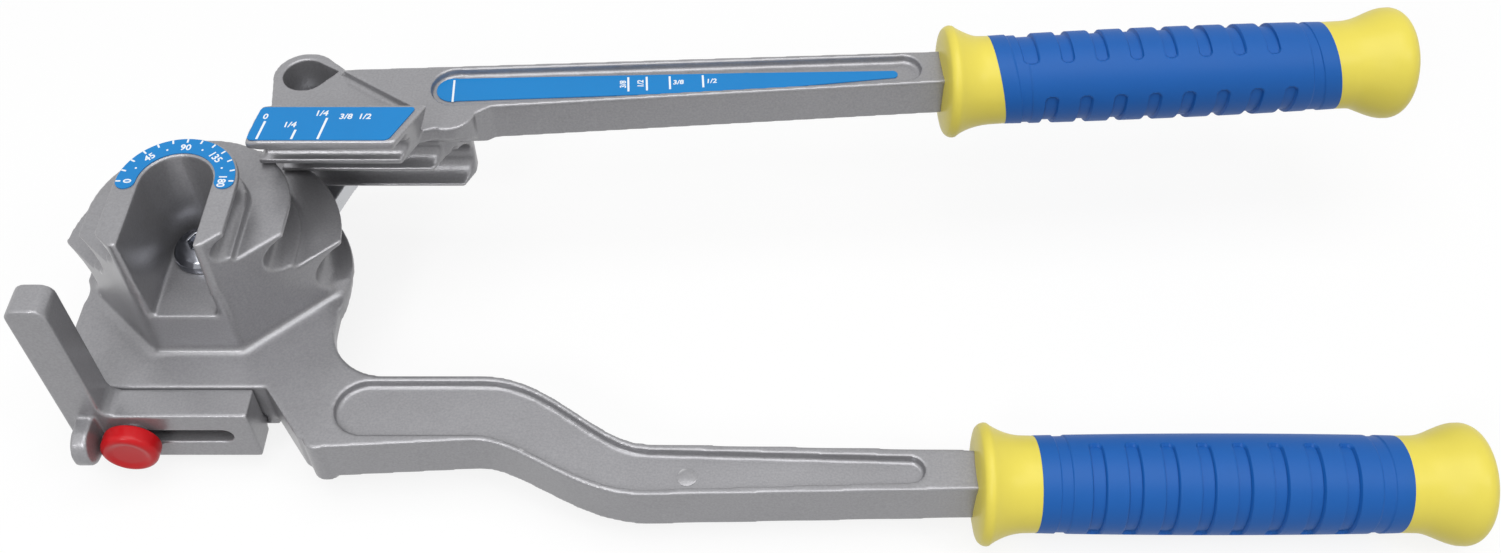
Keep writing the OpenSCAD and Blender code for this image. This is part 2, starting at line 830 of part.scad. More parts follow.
// Outline of the shoe from above, with the pivot boss at its back corner
module shoe_plan() {
    polygon([
        [shoe_start, lip_small], [shoe_end, lip_small],
        [shoe_side, slant_y], [shoe_side, shoe_back],
        [pin_xy[0] + 2.5 * boss_r, shoe_back],
        upper_point(upper_far_d, upper_half(upper_far_d)),
        pin_xy + boss_r * [cos(45), sin(45)], pin_xy, pin_xy - [boss_r, 0],
        [shoe_left(pad_back), pad_back]
    ]);
}

// Outline of the label pad from its back edge to the given front edge, a little long at the right
module pad_plan(front) {
    polygon([
        [pad_left(front), front], [pad_right(front) + eps, front],
        [pad_right(pad_back) + eps, pad_back], [pad_left(pad_back), pad_back]
    ]);
}

// Label pad on the shoe, with a leaning right end and a front edge that reaches over the die
module label_pad() {
    difference() {
        union() {
            translate([0, 0, boss_top - eps])
                linear_extrude(pad_top - boss_top + eps) pad_plan(lip_small);
            translate([0, 0, pad_under]) linear_extrude(pad_top - pad_under) pad_plan(pad_front);
        }
        translate([pad_right(lip_small), lip_small, pad_top])
            rotate([0, pad_lean, shoe_end_angle - 90])
                translate([0, -far / 2, -far / 2]) cube([far, far, far]);
    }
}

// Outline of the upper arm from above; its slanted left side is the crease beside the boss
module upper_plan() {
    polygon([
        upper_point(upper_far_d, upper_half(upper_far_d)),
        arm_corner + [-corner_in, 3 * corner_in], arm_corner + [-corner_in, -corner_in],
        arm_corner + [-corner_in / 4, -corner_in], arm_corner + [lobe_r, corner_in / 4],
        upper_point(upper_root_d, -upper_half(upper_root_d)),
        upper_point(0, -upper_tip_w / 2), upper_point(0, upper_tip_w / 2)
    ]);
    translate(arm_corner + [lobe_r - lobe_in, lobe_r - lobe_in]) circle(lobe_r);
}

// Recess for the scale in the upper arm's top, wide at the shoe and narrower at the grip
module upper_recess() {
    bar_between(
        upper_point(upper_root_d + upper_recess_lead, 0), upper_point(upper_recess_stop, 0),
        upper_recess_r, upper_recess_tip, upper_top - recess_depth, recess_depth + eps
    );
}

// Round channel along X for one tube size
module shoe_channel(y, z, groove) {
    translate([0, y, z]) rotate([0, 90, 0]) cylinder(r = groove, h = far);
}

// Fillet between the shoe's slanted end and the arm's underside, cut to the arm's outline
module shoe_gusset() {
    intersection() {
        translate([shoe_end, lip_small, upper_bottom])
            rotate([0, 0, shoe_end_angle - 90])
                translate([0, shoe_back, 0])
                    rotate([90, 0, 0])
                        linear_extrude(shoe_back)
                            polygon(concat(
                                [[-corner_in, eps], [-corner_in, -gusset_r]],
                                [for (a = [0:15:90]) gusset_r * [1 - cos(a), sin(a) - 1]],
                                [[gusset_r, eps]]
                            ));
        translate([0, 0, upper_bottom - gusset_r - 2 * eps])
            linear_extrude(gusset_r + 4 * eps) upper_plan();
    }
}

// Slanted hollow under the lobe that leaves the end of the middle channel open
module lobe_undercut() {
    near = arm_corner[1] - lobe_in;
    top = upper_top - lobe_edge;
    back = near + lobe_run * (top - upper_bottom);
    floor_z = upper_bottom - gusset_r - 3 * eps;
    translate([arm_corner[0] - corner_in - eps, 0, 0])
        rotate([90, 0, 90])
            linear_extrude(3 * lobe_r)
                polygon([
                    [near - 2 * corner_in, top], [near, top], [back, upper_bottom],
                    [back + corner_in / 4, floor_z], [near - 2 * corner_in, floor_z]
                ]);
}

module shoe_handle() {
    color(cast_grey)
        difference() {
            union() {
                translate([0, 0, shoe_bottom]) linear_extrude(boss_top - shoe_bottom) shoe_plan();
                label_pad();
                difference() {
                    union() {
                        translate([0, 0, upper_bottom]) linear_extrude(upper_h) upper_plan();
                        shoe_gusset();
                    }
                    lobe_undercut();
                }
                at_pin() {
                    translate([0, 0, shoe_bottom]) teardrop(boss_r, boss_tip, boss_top - shoe_bottom);
                    translate([0, 0, boss_bottom])
                        cylinder(r = pin_bore + bush_wall + spigot_wall, h = boss_top - boss_bottom);
                }
                at_upper_grip()
                    translate([-eps, 0, 0]) rotate([0, 90, 0]) cylinder(r = tang_r, h = tang_len + eps);
            }
            // Steps that clear the die's middle and large steps
            translate([-far / 2, lip_mid - far, step_mid_top + shoe_clear - far]) cube([far, far, far]);
            translate([-far / 2, lip_large - far, step_large_top + shoe_clear - far]) cube([far, far, far]);
            shoe_channel(bend_small, axis_small, groove_small);
            shoe_channel(bend_mid, axis_mid, groove_mid);
            shoe_channel(bend_large, axis_large, groove_large);
            at_pin() {
                translate([0, 0, pocket_floor]) teardrop(pocket_r, pocket_tip, far);
                translate([0, 0, boss_bottom - eps])
                    cylinder(r = pin_bore + bush_wall, h = pocket_floor - boss_bottom + 2 * eps);
            }
            upper_recess();
        }
}

module handle_bush() {
    color(bronze)
        at_pin() ring(pin_bore + bush_wall - press_clear, pin_bore, boss_bottom, pocket_floor - boss_bottom);
}

// Label on the shoe's pad
module shoe_label() {
    front = pad_front + label_margin;
    back = pad_back - 2 * label_margin;
    color(label_blue)
        translate([0, 0, pad_top])
            linear_extrude(label_t)
                polygon([
                    [pad_left(front) + label_margin, front], [pad_right(front) - label_side, front],
                    [pad_right(back) - label_side, back], [pad_left(back) + label_margin, back]
                ]);
}

// Scale strip on the floor of the upper arm's recess, which narrows towards the grip
module arm_scale() {
    start = upper_point(scale_start, scale_start_y);
    bend = upper_point(scale_bend, scale_bend_y);
    stop = upper_point(scale_stop, scale_stop_y);
    floor_z = upper_top - recess_depth;
    color(label_blue) {
        bar_between(start, bend, scale_start_r, scale_bend_r, floor_z, label_t);
        bar_between(bend, stop, scale_bend_r - press_clear, scale_stop_r, floor_z, label_t);
    }
}

// Front outline of the hook's post, with its top corners rounded
module post_plan() {
    translate([-post_left, bar_bottom]) square([post_w, post_top - post_round - bar_bottom]);
    translate([-post_left + post_round, bar_bottom]) square([post_w - 2 * post_round, post_top - bar_bottom]);
    for (x = [-post_left + post_round, -post_x - post_round])
        translate([x, post_top - post_round]) circle(post_round);
}

// Sliding hook: bar with a long slot and a guide tongue, post and finger tab
module hook() {
    color(cast_grey)
        difference() {
            union() {
                translate([0, -hook_back, 0])
                    rotate([90, 0, 0])
                        linear_extrude(hook_t) {
                            post_plan();
                            translate([-post_x - eps, bar_bottom]) square([post_x + bar_end + eps, bar_h]);
                            difference() {
                                translate([-post_x - eps, bar_top - eps])
                                    square([bar_fillet + eps, bar_fillet + eps]);
                                translate([-post_x + bar_fillet, bar_top + bar_fillet]) circle(bar_fillet);
                            }
                        }
                translate([-post_left, -hook_back - eps, tongue_z])
                    cube([post_left + bar_end, tongue_t + eps, tongue_h]);
                translate([-tab_left, 0, tab_z])
                    rotate([90, 0, 90])
                        linear_extrude(tab_w) {
                            translate([-hook_front - tab_reach + tab_h / 2, 0]) circle(tab_h / 2);
                            translate([-hook_front - tab_reach + tab_h / 2, -tab_h / 2])
                                square([tab_reach - tab_h / 2 + eps, tab_h]);
                        }
            }
            translate([0, -hook_back + tongue_t + 2 * eps, slot_z])
                rotate([90, 0, 0])
                    linear_extrude(hook_t + tongue_t + 4 * eps) {
                        translate([-slot_left, -hook_slot_w / 2])
                            square([slot_left + slot_right, hook_slot_w]);
                        for (x = [-slot_left, slot_right]) translate([x, 0]) circle(d = hook_slot_w);
                    }
        }
}

module at_screw() {
    translate([-screw_x, 0, slot_z]) rotate([90, 0, 0]) children();
}

// Round clamp knob with a rounded rim and a slightly hollow face
module clamp_knob() {
    rim = 1.4;
    dish = 0.4;
    knob_r = knob_d / 2;
    color(knob_red)
        at_screw()
            translate([0, 0, washer_front])
                difference() {
                    rotate_extrude()
                        polygon(concat(
                            [[0, 0], [knob_r - rim / 2, 0], [knob_r, rim / 2]],
                            [for (a = [0:15:90]) [knob_r - rim + rim * cos(a), knob_t - rim + rim * sin(a)]],
                            [[knob_r - rim - 1, knob_t - dish], [0, knob_t - dish]]
                        ));
                    translate([0, 0, -eps]) cylinder(r = screw_r + press_clear, h = knob_t - knob_cap + eps);
                }
}

module clamp_screw() {
    // Distance of the screw's end from the wall's back
    inset = 0.5;
    screw_end = base_front - wall_t + inset;
    color(steel)
        at_screw()
            translate([0, 0, screw_end])
                cylinder(r = screw_r, h = washer_front + knob_t - knob_cap - slide_clear - screw_end);
}

module clamp_washer() {
    color(steel)
        at_screw()
            ring(clamp_washer_r, screw_r + press_clear, hook_front + slide_clear, clamp_washer_t);
}

form_handle();
pivot_bolt();
thrust_washer();
lower_washer();
pivot_nut();
nut_insert();
degree_scale();
lower_grip_core();
lower_grip_sleeve();
swing_link();
link_bush();
handle_pin();
handle_washer();
pin_washer();
pin_ring();
shoe_handle();
handle_bush();
shoe_label();
arm_scale();
upper_grip_core();
upper_grip_sleeve();
hook();
clamp_knob();
clamp_screw();
clamp_washer();
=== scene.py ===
"""Finished pieces of a lever tube bender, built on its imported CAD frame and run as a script."""

import math

import bmesh
import bpy
import numpy as np
from bpy.props import FloatProperty, FloatVectorProperty, IntProperty, PointerProperty
from mathutils import Matrix, Vector
from mathutils.bvhtree import BVHTree


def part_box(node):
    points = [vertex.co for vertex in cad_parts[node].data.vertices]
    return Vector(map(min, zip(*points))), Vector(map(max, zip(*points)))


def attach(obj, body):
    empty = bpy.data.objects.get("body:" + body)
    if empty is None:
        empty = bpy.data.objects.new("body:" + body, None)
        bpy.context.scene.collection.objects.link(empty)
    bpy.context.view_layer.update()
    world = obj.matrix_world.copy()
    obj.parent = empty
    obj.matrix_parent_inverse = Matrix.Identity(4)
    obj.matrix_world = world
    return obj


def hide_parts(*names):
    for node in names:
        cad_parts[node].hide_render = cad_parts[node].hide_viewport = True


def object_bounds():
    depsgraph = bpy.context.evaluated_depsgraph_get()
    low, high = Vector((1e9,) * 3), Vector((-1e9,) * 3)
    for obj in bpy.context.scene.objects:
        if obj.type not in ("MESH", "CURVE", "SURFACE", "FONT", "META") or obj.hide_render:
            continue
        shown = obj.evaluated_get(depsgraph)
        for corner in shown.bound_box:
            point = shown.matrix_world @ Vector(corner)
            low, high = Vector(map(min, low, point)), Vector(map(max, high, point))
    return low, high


bl_info = {
    "name": "Lever tube bender",
    "version": (1, 0, 0),
    "blender": (4, 5, 0),
    "location": "View3D > Sidebar > Bender",
    "description": "Builds the finished pieces of a lever tube bender on its CAD frame",
    "category": "Object",
}

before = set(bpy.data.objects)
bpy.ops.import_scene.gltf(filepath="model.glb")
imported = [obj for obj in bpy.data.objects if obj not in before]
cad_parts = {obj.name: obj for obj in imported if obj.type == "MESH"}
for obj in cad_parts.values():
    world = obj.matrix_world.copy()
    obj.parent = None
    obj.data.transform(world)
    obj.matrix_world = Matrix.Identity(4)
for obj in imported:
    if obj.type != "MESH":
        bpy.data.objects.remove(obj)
cad_low, cad_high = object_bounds()
MM = 0.001
IMAGE_WIDTH = 1501


def colour(label, words, default):
    """A linear colour that a user may change."""
    return FloatVectorProperty(
        name=label, description=words, subtype="COLOR", size=3, min=0, max=1, default=default
    )


def length(label, words, default_mm):
    """A length that a user may change; its default is given in millimetres."""
    return FloatProperty(name=label, description=words, unit="LENGTH", min=0, default=default_mm * MM)


def rotation(label, words, default_degrees):
    """An angle that a user may change; its default is given in degrees."""
    return FloatProperty(
        name=label, description=words, unit="ROTATION", default=math.radians(default_degrees)
    )


def ratio(label, words, default, lowest, highest):
    """A plain number that a user may change."""
    return FloatProperty(name=label, description=words, min=lowest, max=highest, default=default)


def whole(label, words, default, lowest=0):
    """A whole number that a user may change."""
    return IntProperty(name=label, description=words, min=lowest, default=default)


class BenderColours(bpy.types.PropertyGroup):
    """Colours of the finishes."""

    cast: colour("Cast metal", "Satin grey of the die, the shoe and the hook", (0.3, 0.298, 0.312))
    # Painted highlight: this lighter colour on the castings' outer edges stands partly for rubbed wear and
    # partly for the shine that light gives those edges.
    worn: colour("Worn edge and painted highlight", "Rubbed edges of the castings, also lightened as a painted highlight", (0.5, 0.498, 0.51))
    steel: colour("Steel", "Plated washers, nut, pin and link", (0.56, 0.57, 0.59))
    bolt: colour("Bolt", "Smooth dark head of the pivot bolt", (0.3, 0.31, 0.34))
    bronze: colour("Bronze", "Sintered bushes", (0.47, 0.28, 0.11))
    yellow: colour("Yellow", "Hard part of the grips", (0.8, 0.68, 0.1))
    blue: colour("Blue", "Soft sleeves of the grips", (0.008, 0.105, 0.4))
    # Painted shade: a darker blue laid into the inner edges of the sleeves' slots, where shade falls.
    groove: colour("Painted slot shade", "Inner edges of the sleeves' slots", (0.003, 0.04, 0.17))
    label: colour("Label", "Ground of the three labels", (0.008, 0.215, 0.56))
    mark: colour("Mark", "Ticks and numbers on the labels", (0.86, 0.9, 0.93))
    red: colour("Red", "Clamp knob", (0.57, 0.008, 0.012))
    nylon: colour("Nylon", "Locking ring of the pivot nut", (0.75, 0.75, 0.68))
    floor: colour("Floor", "Floor under the tool, as its light falls back", (0.45, 0.45, 0.45))


class CastingSizes(bpy.types.PropertyGroup):
    """How finely the castings are cut up and rounded."""

    cell: length("Cell", "Size of the cells a casting is cut into before it is rounded", 0.42)
    rounds: whole("Rounds", "How often a casting's edges are smoothed", 5)
    share: ratio("Share of faces", "Share of a casting's faces kept", 0.48, 0.05, 1)
    foot_reach: length("Foot reach", "How far the round foot of the die reaches to both sides", 4)
    foot_rounds: whole("Foot rounds", "How often the foot of the die is smoothed", 70)
    pad_reach: length("Pad reach", "How far the round corners of the shoe's pad reach to both sides", 2.6)
    pad_rounds: whole("Pad rounds", "How often the corners of the pad are smoothed", 24)
    mark_radius: length("Ejector mark", "Radius of the round ejector mark on the lower arm", 2.4)
    mark_height: length("Ejector mark height", "How far that mark stands out", 0.14)
    mark_place: FloatVectorProperty(
        name="Mark place", description="Where that mark lies on the arm", size=2, unit="LENGTH",
        default=(0.1182, -0.0532),
    )


class GripSizes(bpy.types.PropertyGroup):
    """Shape of the moulded grips."""

    turn: rotation("Upper turn", "Turn of the upper arm and its grip", 3.6)
    front: length("Front", "Length of the hard part before the sleeve", 13.4)
    knob: length("Knob", "Length of the hard end knob", 21)
    stretch: ratio("Upper stretch", "How much longer the upper grip is moulded", 1.028, 1, 1.05)
    sleeve_wall: length("Sleeve wall", "Thickness of the soft sleeve", 1.85)
    bulge: length("Bulge", "How much the sleeve swells at its middle", 0.45)
    lower_slant: ratio("Lower slant", "Lean of the lower sleeve's ends", 0.02, 0, 0.4)
    upper_slant: ratio("Upper slant", "Lean of the upper sleeve's ends", 0.18, 0, 0.4)
    lower_tilt: rotation("Lower tilt", "Side to which the lower sleeve's ends lean", 147)
    upper_tilt: rotation("Upper tilt", "Side to which the upper sleeve's ends lean", 249)
    slots: whole("Slots", "Number of slots in a row", 8, 1)
    lower_pitch: length("Lower pitch", "Distance between two slots of a row on the lower sleeve", 8.15)
    upper_pitch: length("Upper pitch", "Distance between two slots of a row on the upper sleeve", 8.47)
    lower_facing: rotation("Lower facing", "Side on which the lower sleeve's first row of slots lies", 137)
    upper_facing: rotation("Upper facing", "Side on which the upper sleeve's first row of slots lies", 231)
    slot_width: length("Slot width", "Width of a slot", 3.1)
    slot_depth: length("Slot depth", "Depth of a slot", 0.85)
    slot_corner: length("Slot corner", "Radius of a slot's corners", 1.2)
    slot_arc: rotation("Slot arc", "Arc that a slot takes", 135)
    row_shift: length("Row shift", "How far the first row of slots lies before the sleeve's middle", 0.3)
    band_in: length("Band inset", "Distance of the end bands from the sleeve's ends", 4.2)
    band_width: length("Band width", "Width of the end bands", 2.8)
    band_depth: length("Band depth", "Depth of the end bands", 0.3)
    rings: whole("Rings", "Rows of faces along a sleeve, from which its slots are carved", 390, 1)
    around: whole("Around", "Faces around a sleeve", 240, 3)


class LabelSizes(bpy.types.PropertyGroup):
    """Marks on the labels."""

    corner: length("Corner", "Radius of the shoe label's corners", 1.2)
    thickness: length("Thickness", "Thickness of the printed marks", 0.04)
    tick_width: length("Tick width", "Width of a tick", 0.42)
    tick_length: length("Tick length", "Length of a tick on the degree scale", 1.15)
    degree_height: length("Degree height", "Height of the numbers on the degree scale", 1.8)
    shoe_height: length("Shoe height", "Height of the numbers on the shoe's label", 1.7)
    arm_height: length("Arm height", "Height of the numbers on the arm's scale", 1.5)


class StageSizes(bpy.types.PropertyGroup):
    """Camera and floor."""

    camera_place: FloatVectorProperty(
        name="Camera", description="Place of the camera", subtype="TRANSLATION", unit="LENGTH",
        default=(0.132805, -0.239151, 0.311707),
    )
    camera_tilt: rotation("Tilt", "Tilt of the camera from straight down", 40)
    focal_pixels: FloatProperty(
        name="Focal length", description="Focal length in pixels of the image", default=1500, min=100
    )
    floor_size: length("Floor", "Side of the floor", 6000)


def add_node(tree, kind, sockets=None, **settings):
    """A shader node with its settings and the values of its sockets."""
    made = tree.nodes.new(kind)
    for key, value in settings.items():
        setattr(made, key, value)
    for key, value in (sockets or {}).items():
        made.inputs[key].default_value = value
    return made


def link(tree, *pairs):
    """Joins sockets, given as pairs of an output and an input."""
    for source, target in pairs:
        tree.links.new(source, target)


def new_group(name, inputs, outputs):
    """An empty shader group with value and colour sockets; inputs are (name, kind, default)."""
    group = bpy.data.node_groups.new(name, "ShaderNodeTree")
    for label, kind, default in inputs:
        socket = group.interface.new_socket(label, in_out="INPUT", socket_type=kind)
        if default is not None:
            socket.default_value = default
    for label, kind in outputs:
        group.interface.new_socket(label, in_out="OUTPUT", socket_type=kind)
    return group, group.nodes.new("NodeGroupInput"), group.nodes.new("NodeGroupOutput")


def skin_group():
    """Moulded or cast skin: cloudy and speckled colour, cloudy roughness and a fine grain, from noise."""
    name = "Moulded skin"
    if name in bpy.data.node_groups:
        return bpy.data.node_groups[name]
    group, take, give = new_group(
        name,
        [("Vector", "NodeSocketVector", None), ("Colour", "NodeSocketColor", (0.5, 0.5, 0.5, 1)),
         ("Cloud scale", "NodeSocketFloat", 60.0), ("Cloud", "NodeSocketFloat", 0.1),
         ("Speckle", "NodeSocketFloat", 0.0),
         ("Grain scale", "NodeSocketFloat", 2500.0), ("Roughness", "NodeSocketFloat", 0.4),
         ("Roughness spread", "NodeSocketFloat", 0.1)],
        [("Colour", "NodeSocketColor"), ("Roughness", "NodeSocketFloat"), ("Grain", "NodeSocketFloat")],
    )
    cloud = add_node(group, "ShaderNodeTexNoise", {"Detail": 4.0, "Roughness": 0.6})
    grain = add_node(group, "ShaderNodeTexNoise", {"Detail": 2.0, "Roughness": 0.5})
    swing = add_node(group, "ShaderNodeMath", {1: 0.5}, operation="SUBTRACT")
    dots = add_node(group, "ShaderNodeMath", {1: 0.5}, operation="SUBTRACT")
    speckled = add_node(group, "ShaderNodeMath", {2: 1.0}, operation="MULTIPLY_ADD")
    amount = add_node(group, "ShaderNodeMath", operation="MULTIPLY_ADD")
    tone = add_node(group, "ShaderNodeVectorMath", operation="SCALE")
    rough = add_node(group, "ShaderNodeMath", operation="MULTIPLY_ADD")
    link(
        group,
        (take.outputs["Vector"], cloud.inputs["Vector"]), (take.outputs["Vector"], grain.inputs["Vector"]),
        (take.outputs["Cloud scale"], cloud.inputs["Scale"]),
        (take.outputs["Grain scale"], grain.inputs["Scale"]),
        (cloud.outputs["Fac"], swing.inputs[0]),
        (grain.outputs["Fac"], dots.inputs[0]),
        (dots.outputs[0], speckled.inputs[0]), (take.outputs["Speckle"], speckled.inputs[1]),
        (swing.outputs[0], amount.inputs[0]), (take.outputs["Cloud"], amount.inputs[1]),
        (speckled.outputs[0], amount.inputs[2]),
        (take.outputs["Colour"], tone.inputs[0]), (amount.outputs[0], tone.inputs["Scale"]),
        (swing.outputs[0], rough.inputs[0]), (take.outputs["Roughness spread"], rough.inputs[1]),
        (take.outputs["Roughness"], rough.inputs[2]),
        (tone.outputs[0], give.inputs["Colour"]), (rough.outputs[0], give.inputs["Roughness"]),
        (grain.outputs["Fac"], give.inputs["Grain"]),
    )
    return group


def finish(name, tint, skin, bump, depth, **shader):
    """A material from the skin group; skin holds its values, shader those of the Principled BSDF."""
    material = bpy.data.materials.new(name)
    material.use_nodes = True
    tree = material.node_tree
    principled = tree.nodes["Principled BSDF"]
    for key, value in shader.items():
        principled.inputs[key.replace("_", " ")].default_value = value
    place = add_node(tree, "ShaderNodeTexCoord")
    group = add_node(tree, "ShaderNodeGroup", node_tree=skin_group())
    group.inputs["Colour"].default_value = (*tint, 1)
    for key, value in skin.items():
        group.inputs[key].default_value = value
    relief = add_node(tree, "ShaderNodeBump", {"Strength": bump, "Distance": depth})
    link(
        tree,
        (place.outputs["Object"], group.inputs["Vector"]),
        (group.outputs["Colour"], principled.inputs["Base Color"]),
        (group.outputs["Roughness"], principled.inputs["Roughness"]),
        (group.outputs["Grain"], relief.inputs["Height"]),
        (relief.outputs["Normal"], principled.inputs["Normal"]),
    )
    return material


def add_edge_tint(material, tint, start, full):
    """Tints edges by pointiness, from start to full: outer edges lie above 0.5, inner ones below it."""
    tree = material.node_tree
    base = tree.nodes["Principled BSDF"].inputs["Base Color"]
    skin = base.links[0].from_socket
    shape = add_node(tree, "ShaderNodeNewGeometry")
    edge = add_node(tree, "ShaderNodeMapRange", {"From Min": start, "From Max": full})
    tinted = add_node(tree, "ShaderNodeMix", {"B": (*tint, 1)}, data_type="RGBA")
    link(
        tree,
        (shape.outputs["Pointiness"], edge.inputs["Value"]),
        (edge.outputs["Result"], tinted.inputs["Factor"]),
        (skin, tinted.inputs["A"]), (tinted.outputs["Result"], base),
    )


def cast_finish(colours):
    """Satin, lightly blasted cast metal whose outer edges are lightened in the colour, partly as rubbed
    wear and partly as a painted highlight.
    """
    material = finish(
        "Satin cast metal", colours.cast,
        {"Cloud scale": 45.0, "Cloud": 0.2, "Speckle": 0.4, "Grain scale": 1900.0, "Roughness": 0.31,
         "Roughness spread": 0.14},
        bump=0.16, depth=0.2 * MM, Metallic=0.45, Specular_IOR_Level=0.5,
    )
    # Painted highlight: outer edges are lightened by pointiness, partly for rubbed wear and partly for the
    # shine of light along them.
    add_edge_tint(material, colours.worn, start=0.53, full=0.62)
    return material


def steel_finish(colours):
    """Bright plated steel."""
    return finish(
        "Plated steel", colours.steel,
        {"Cloud scale": 220.0, "Cloud": 0.2, "Grain scale": 3200.0, "Roughness": 0.3,
         "Roughness spread": 0.16},
        bump=0.06, depth=0.1 * MM, Metallic=1.0,
    )


def bolt_finish(colours):
    """Smooth dark steel with a clear shine."""
    return finish(
        "Dark bolt steel", colours.bolt,
        {"Cloud scale": 150.0, "Cloud": 0.12, "Grain scale": 3000.0, "Roughness": 0.14,
         "Roughness spread": 0.06},
        bump=0.03, depth=0.1 * MM, Metallic=1.0,
    )


def bronze_finish(colours):
    """Porous sintered bronze."""
    return finish(
        "Sintered bronze", colours.bronze,
        {"Cloud scale": 260.0, "Cloud": 0.3, "Grain scale": 4200.0, "Roughness": 0.45,
         "Roughness spread": 0.2},
        bump=0.2, depth=0.2 * MM, Metallic=1.0,
    )


def plastic_finish(name, tint, roughness, bump):
    """Moulded plastic or rubber with a fine, even skin."""
    return finish(
        name, tint,
        {"Cloud scale": 70.0, "Cloud": 0.1, "Grain scale": 2600.0, "Roughness": roughness,
         "Roughness spread": 0.1},
        bump=bump, depth=0.2 * MM, Specular_IOR_Level=0.28,
    )


def shown_rays(tree):
    """A socket that is 1 for the rays that show a surface: those of the camera, of shine and of glass."""
    rays = add_node(tree, "ShaderNodeLightPath")
    shown = rays.outputs["Is Camera Ray"]
    for name in ("Is Glossy Ray", "Is Transmission Ray"):
        either = add_node(tree, "ShaderNodeMath", operation="MAXIMUM")
        link(tree, (shown, either.inputs[0]), (rays.outputs[name], either.inputs[1]))
        shown = either.outputs[0]
    return shown


def drop_object(obj):
    """Removes a helper object and its data."""
    data = obj.data
    bpy.data.objects.remove(obj)
    (bpy.data.meshes if isinstance(data, bpy.types.Mesh) else bpy.data.curves).remove(data)


def settled(obj):
    """The object's mesh with its modifiers applied."""
    bpy.context.view_layer.update()
    return bpy.data.meshes.new_from_object(obj.evaluated_get(bpy.context.evaluated_depsgraph_get()))


def add_piece(name, mesh, material, body, nodes=()):
    """Links a finished piece, gives it its material, hands it to its body and hides the CAD nodes it
    replaces.
    """
    mesh.name = name
    mesh.materials.clear()
    mesh.materials.append(material)
    obj = bpy.data.objects.new(name, mesh)
    bpy.context.scene.collection.objects.link(obj)
    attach(obj, body)
    if nodes:
        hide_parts(*nodes)
    return obj


def merged_copy(node):
    """A bmesh of a CAD node with its loose triangles joined."""
    shape = bmesh.new()
    shape.from_mesh(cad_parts[node].data)
    bmesh.ops.remove_doubles(shape, verts=shape.verts, dist=1e-6)
    return shape


def mesh_of(shape, name, smooth_angle=None):
    """Turns a bmesh into a mesh with smooth faces, sharp only where they meet beyond the angle."""
    mesh = bpy.data.meshes.new(name)
    shape.to_mesh(mesh)
    shape.free()
    mesh.shade_smooth()
    if smooth_angle is not None:
        mesh.set_sharp_from_angle(angle=smooth_angle)
    return mesh


def helper_object(data):
    """A passing object that carries modifiers or a text."""
    helper = bpy.data.objects.new("helper", data)
    bpy.context.scene.collection.objects.link(helper)
    return helper


def add_smooth(obj, rounds, group=""):
    """A smoothing step, kept to a vertex group if one is named."""
    smooth = obj.modifiers.new("Smooth", "SMOOTH")
    smooth.factor = 0.5
    smooth.iterations = rounds
    smooth.vertex_group = group


def near_lines(mesh, lines, reach):
    """How near each vertex lies to any of some straight lines: 1 close to a line, 0 beyond the reach."""
    steepness = 1.6
    places = np.empty(len(mesh.vertices) * 3)
    mesh.vertices.foreach_get("co", places)
    places = places.reshape(-1, 3)
    nearest = np.full(len(places), np.inf)
    for start, end in lines:
        start, run = np.array(start), np.array(end) - np.array(start)
        share = np.clip((places - start) @ run / (run @ run), 0, 1)
        nearest = np.minimum(nearest, np.linalg.norm(places - start - share[:, None] * run, axis=1))
    return np.clip(steepness * (1 - nearest / reach), 0, 1)


def rounded_mesh(shape, cell, rounds, share, soft_lines=(), soft_reach=0.0, soft_rounds=0):
    """Cuts a closed shape into fine cells and smooths them, so that every edge and inner corner is round.

    Edges along the soft lines are rounded more."""
    helper = helper_object(mesh_of(shape, "helper"))
    helper.modifiers.new("Cells", "REMESH").voxel_size = cell
    add_smooth(helper, rounds)
    mesh = settled(helper)
    drop_object(helper)
    mesh.shade_smooth()
    helper = helper_object(mesh)
    if soft_lines:
        group = helper.vertex_groups.new(name="soft")
        weights = near_lines(mesh, soft_lines, soft_reach)
        for index in np.flatnonzero(weights > 0):
            group.add([int(index)], float(weights[index]), "REPLACE")
        add_smooth(helper, soft_rounds, group.name)
    helper.modifiers.new("Fewer faces", "DECIMATE").ratio = share
    helper.modifiers.new("Flat faces stay flat", "WEIGHTED_NORMAL").weight = 50
    mesh = settled(helper)
    drop_object(helper)
    return mesh


def join_flat(shape):
    """Joins the faces that lie in one plane."""
    bmesh.ops.dissolve_limit(shape, angle_limit=math.radians(0.5), verts=shape.verts, edges=shape.edges)


def bevelled_mesh(shape, width, angle=math.radians(35)):
    """Bevels the sharp edges of a simple turned shape."""
    join_flat(shape)
    sharp = [e for e in shape.edges if len(e.link_faces) == 2 and e.calc_face_angle(0) > angle]
    bmesh.ops.bevel(shape, geom=sharp, offset=width, segments=2, profile=0.5, affect="EDGES", material=-1)
    return mesh_of(shape, "turned", math.radians(40))


def eased(t):
    """Smooth step from 0 to 1."""
    t = min(1.0, max(0.0, t))
    return t * t * (3 - 2 * t)


def spun(profile, steps):
    """A closed solid of revolution about X from points (x, radius); the ends lie on the axis or meet."""
    shape = bmesh.new()
    points = [shape.verts.new((x, r, 0)) for x, r in profile]
    edges = [shape.edges.new(pair) for pair in zip(points, points[1:])]
    bmesh.ops.spin(
        shape, geom=points + edges, cent=(0, 0, 0), axis=(1, 0, 0), angle=math.tau, steps=steps,
        use_merge=True,
    )
    bmesh.ops.remove_doubles(shape, verts=shape.verts, dist=1e-7)
    bmesh.ops.recalc_face_normals(shape, faces=shape.faces)
    return shape


def arc_points(centre, radius, start, end, count):
    """Points (x, radius) on an arc in a profile, with angles in degrees."""
    return [
        (centre[0] + radius * math.cos(math.radians(start + (end - start) * i / count)),
         centre[1] + radius * math.sin(math.radians(start + (end - start) * i / count)))
        for i in range(count + 1)
    ]


